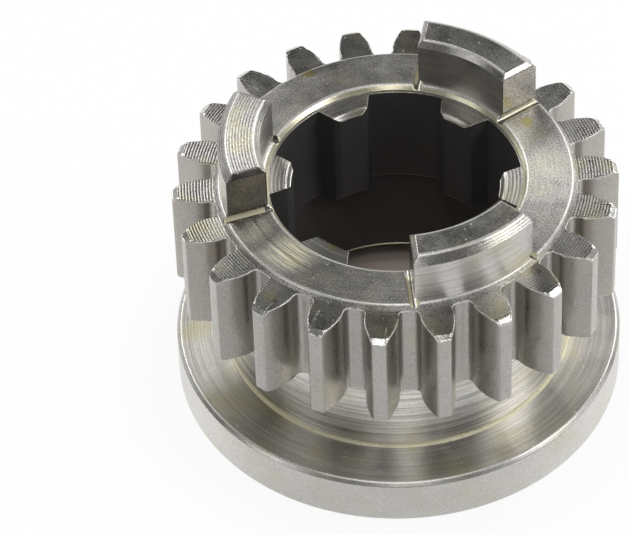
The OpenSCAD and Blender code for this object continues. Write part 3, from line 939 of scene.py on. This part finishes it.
class GEAR_OT_groove_and_flange(bpy.types.Operator):
    """Make the fork groove, the flange and the counterbore"""
    bl_idname = "gear.groove_and_flange"
    bl_label = "Fork groove and flange"

    def execute(self, context):
        flange, bore, teeth = context.scene.gear_flange, context.scene.gear_bore, context.scene.gear_teeth
        groove, faced, bored, rim, gold_glint, worn_sheen = range(6)
        edge, cut, fillet = flange.edge_break, flange.flange_edge, flange.corner_fillet
        inner_top, outer_top = bore.spline_low + BODY_SUNK, teeth.low + BODY_SUNK
        chamfer_top = BASE_Z + bore.base_chamfer
        # The counterbore takes the near-black of the bore, partly painted shade
        rows = [
            (CORE_HIDDEN, inner_top, 0, 2, bored),
            (bore.counterbore_radius, inner_top, 0, 20, bored),
            (bore.counterbore_radius, chamfer_top + 2 * bore.burr, 0, 3, gold_glint),
            (bore.counterbore_radius - bore.burr, chamfer_top + bore.burr, 0.3 * bore.burr, 10, bored),
            (bore.counterbore_radius + bore.base_chamfer, BASE_Z, edge, 16, rim),
            (flange.flange_radius - cut, BASE_Z, edge, 5, rim),
            (flange.flange_radius, BASE_Z + cut, edge, 16, rim),
            (flange.flange_radius, flange.flange_top - cut, edge, 5, rim),
            (flange.flange_radius - cut, flange.flange_top, 2 * edge, 24, faced),
            (flange.groove_radius, flange.flange_top, fillet, 30, groove),
            (flange.groove_radius, teeth.low, fillet, 2, groove),
            (flange.groove_radius + 2 * fillet, teeth.low, 0, 2, groove),
            (CORE_HIDDEN, outer_top, 0, 2, groove),
        ]
        section, _, runs, lengths, kinds = section_loop(rows, 6)
        flange_run, groove_run = 8, 9
        on_arc = lengths == 0
        # The flange's rounded top edge: wear, and a painted highlight
        kinds = np.where((runs == flange_run) & on_arc, worn_sheen, kinds)
        # The groove's corner, the flange by it and the counterbore over the burr take a painted gold
        # highlight
        by_groove = (runs == flange_run) & (section[:, 0] < flange.groove_radius + 0.5 * MM)
        kinds = np.where((runs == groove_run) & on_arc | by_groove, gold_glint, kinds)
        angle = np.linspace(0, 2 * math.pi, 480, endpoint=False)
        points = polar(section[:, 0, None], angle, section[:, 1, None])
        finishes = ("turned_groove", "faced_flange", "oiled_shaded_bore", "turned_rim", "gold_glint_corner",
                    "worn_sheen_edges")
        make_piece("groove_and_flange", points, finishes, kinds[:, None])
        return {"FINISHED"}


# The floor is flat out to a radius and bends upwards beyond it all round: both radii in m, and the bend
FLOOR_RADIUS, BEND_RADIUS, FLOOR_BEND = 1.2, 0.9, math.radians(80)
# Radius of the brown tint painted as shade on the floor that shows through the bore, in m
BORE_SHADE_RADIUS = 0.022
# The floor's plain white starts with a share at the foot of the gear, is full a distance outside it and
# begins to end at a radius, in m
GLOW_SHARE, GLOW_START, GLOW_END = 0.93, 0.014, 0.45
# In the reflections the floor in front of the gear is dimmer: by how much, and from where to where, in m
FRONT_SHARE, FRONT_START, FRONT_DIM = 0.36, 0.012, 0.034
# Lamp: azimuth from +X and elevation in degrees, distance from the gear, width, height, radiance
SOFTBOXES = {
    "back_right_softbox": (50, 30, 1.0, 0.50, 0.58, 3.1),
    "back_left_softbox": (124, 37, 1.0, 0.50, 0.50, 3.0),
    "low_left_softbox": (152, 10, 1.0, 0.45, 0.22, 0.6),
    "front_left_softbox": (-152, 32, 1.0, 0.36, 0.30, 1.7),
    "high_front_softbox": (-86, 45, 1.0, 0.24, 0.20, 2.2),
    "tip_softbox": (-90, 61, 1.0, 0.34, 0.16, 3.4),
    "right_softbox": (-12, 42, 1.0, 0.46, 0.34, 5.0),
    "low_right_softbox": (0, 12, 1.0, 0.60, 0.25, 0.9),
    "ceiling_softbox": (-90, 84, 1.0, 0.46, 0.26, 2.8),
}


def softbox(name, azimuth, elevation, distance, width, height, level):
    """A rectangular lamp that faces the middle of the gear from an azimuth and an elevation. Its power is
    the radiance times pi times its area."""
    lamp = bpy.data.lights.new(name, "AREA")
    lamp.shape = "RECTANGLE"
    lamp.size, lamp.size_y = width, height
    lamp.energy = level * math.pi * width * height
    box = bpy.data.objects.new(name, lamp)
    turn = (Matrix.Rotation(math.radians(azimuth + 90), 4, "Z")
            @ Matrix.Rotation(math.radians(90 - elevation), 4, "X"))
    middle = Matrix.Translation((0, 0, 0.5 * (BASE_Z + TOP_Z)))
    box.matrix_world = middle @ turn @ Matrix.Translation((0, 0, distance))
    bpy.context.scene.collection.objects.link(box)


def floor_material(stage):
    """White floor: a matt colour that takes the gear's shadow and, for the camera and the reflections, a
    share of plain white that begins at the gear's foot and ends with the table. The reflections see less
    of it in front of the gear."""
    material = bpy.data.materials.new("floor_white")
    material.use_nodes = True
    tree = material.node_tree
    matt = tree.nodes["Principled BSDF"]
    white = add_node(tree, "ShaderNodeEmission", {"Color": (1, 1, 1, 1), "Strength": 1.0})
    place = add_node(tree, "ShaderNodeTexCoord").outputs["Object"]
    radius = vector_maths(tree, "LENGTH", place).outputs["Value"]
    # Within a radius the floor takes a brown tint, painted shade where it shows through the bore
    outside_bore_shade = maths(tree, "GREATER_THAN", radius, BORE_SHADE_RADIUS)
    colour = mix_colour(tree, outside_bore_shade, (*stage.bore_shade_tint, 1), (*stage.floor_colour, 1))
    wire(tree, matt, {"Base Color": colour, "Roughness": 1.0, "Specular IOR Level": 0.0})
    start = remap(tree, radius, WIDEST_RADIUS, WIDEST_RADIUS + GLOW_START, GLOW_SHARE * stage.floor_glow,
                  stage.floor_glow)
    start = times(tree, start, maths(tree, "GREATER_THAN", radius, WIDEST_RADIUS - 1 * MM))
    end = remap(tree, radius, GLOW_END, 2 * GLOW_END, 1.0, 0.0)
    light = add_node(tree, "ShaderNodeLightPath").outputs
    depth = add_node(tree, "ShaderNodeSeparateXYZ", {0: place}).outputs[1]
    in_front = remap(tree, depth, -FRONT_DIM, -FRONT_START, FRONT_SHARE, 1.0)
    mirrored = times(tree, in_front, maths(tree, "MAXIMUM", light["Is Glossy Ray"],
                                           light["Is Transmission Ray"]))
    seen = maths(tree, "MAXIMUM", light["Is Camera Ray"], mirrored)
    share = times(tree, times(tree, start, end), seen)
    mixed = add_node(tree, "ShaderNodeMixShader", {0: share, 1: matt.outputs[0], 2: white.outputs[0]})
    wire(tree, tree.nodes["Material Output"], {"Surface": mixed.outputs[0]})
    return material


class GEAR_OT_stage(bpy.types.Operator):
    """Make the floor, the lamps and the camera"""
    bl_idname = "gear.stage"
    bl_label = "Stage"

    def execute(self, context):
        scene = context.scene
        stage = scene.gear_stage
        bend = np.linspace(0, FLOOR_BEND, 20)[1:]
        flat = [0.02, 0.2, 0.6, FLOOR_RADIUS]
        radius = np.concatenate([flat, FLOOR_RADIUS + BEND_RADIUS * np.sin(bend)])
        height = np.concatenate([np.zeros(len(flat)), BEND_RADIUS * (1 - np.cos(bend))])
        angle = np.linspace(0, 2 * math.pi, 96, endpoint=False)
        grid = polar(radius[:, None], angle, height[:, None] + BASE_Z)
        index = np.arange(grid.size // 3).reshape(grid.shape[:2])
        quads = np.stack([index[:-1], np.roll(index[:-1], -1, axis=1), np.roll(index[1:], -1, axis=1),
                          index[1:]], axis=-1).reshape(-1, 4)
        mesh = bpy.data.meshes.new("studio_floor")
        mesh.from_pydata(grid.reshape(-1, 3).tolist(), [], quads[:, ::-1].tolist() + [index[0].tolist()])
        mesh.shade_smooth()
        mesh.materials.append(floor_material(stage))
        floor = bpy.data.objects.new("studio_floor", mesh)
        scene.collection.objects.link(floor)

        world = bpy.data.worlds.new("studio_room")
        world.use_nodes = True
        wire(world.node_tree, world.node_tree.nodes["Background"], {0: (1, 1, 1, 1), 1: stage.world_level})
        scene.world = world

        for name, place in SOFTBOXES.items():
            softbox(name, *place)

        lens = bpy.data.cameras.new("photo_camera")
        lens.sensor_width = SENSOR_MM
        lens.lens = stage.focal_px / PHOTO_WIDTH_PX * SENSOR_MM
        lens.clip_start, lens.clip_end = 0.01, 20
        camera = bpy.data.objects.new("photo_camera", lens)
        pan, tilt, roll = stage.camera_turn
        turn = Matrix.Rotation(pan, 4, "Z") @ Matrix.Rotation(tilt, 4, "X") @ Matrix.Rotation(roll, 4, "Z")
        camera.matrix_world = Matrix.Translation(stage.camera_place) @ turn
        scene.collection.objects.link(camera)
        scene.camera = camera
        scene.view_settings.view_transform = "Standard"
        return {"FINISHED"}


class GEAR_PT_panel(bpy.types.Panel):
    """The gear's steps in the sidebar"""
    bl_idname = "GEAR_PT_panel"
    bl_label = "Sliding Gear"
    bl_space_type = "VIEW_3D"
    bl_region_type = "UI"
    bl_category = "Gear"

    def draw(self, context):
        for step in STEPS:
            self.layout.operator(step.bl_idname)
        for group in GROUPS:
            box = self.layout.box()
            owner = getattr(context.scene, group)
            for name in owner.bl_rna.properties.keys():
                if name not in ("rna_type", "name"):
                    box.prop(owner, name)


STEPS = (GEAR_OT_finishes, GEAR_OT_tooth_rim, GEAR_OT_hub_ring, GEAR_OT_face_dogs, GEAR_OT_splined_bore,
         GEAR_OT_groove_and_flange, GEAR_OT_stage)
GROUPS = {
    "gear_teeth": GearTeeth,
    "gear_hub": GearHub,
    "gear_bore": GearBore,
    "gear_flange": GearFlange,
    "gear_finish": GearFinish,
    "gear_stage": GearStage,
}


def register():
    """Registers the classes and hangs the sizes on the scene."""
    for item in (*GROUPS.values(), *STEPS, GEAR_PT_panel):
        bpy.utils.register_class(item)
    for name, group in GROUPS.items():
        setattr(bpy.types.Scene, name, PointerProperty(type=group))


def unregister():
    """Takes the sizes and the classes away again."""
    for name in GROUPS:
        delattr(bpy.types.Scene, name)
    for item in reversed((*GROUPS.values(), *STEPS, GEAR_PT_panel)):
        bpy.utils.unregister_class(item)


def main():
    """Runs every step."""
    register()
    bpy.ops.gear.finishes()
    bpy.ops.gear.tooth_rim()
    bpy.ops.gear.hub_ring()
    bpy.ops.gear.face_dogs()
    bpy.ops.gear.splined_bore()
    bpy.ops.gear.groove_and_flange()
    bpy.ops.gear.stage()
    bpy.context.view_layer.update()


if __name__ == "__main__":
    main()
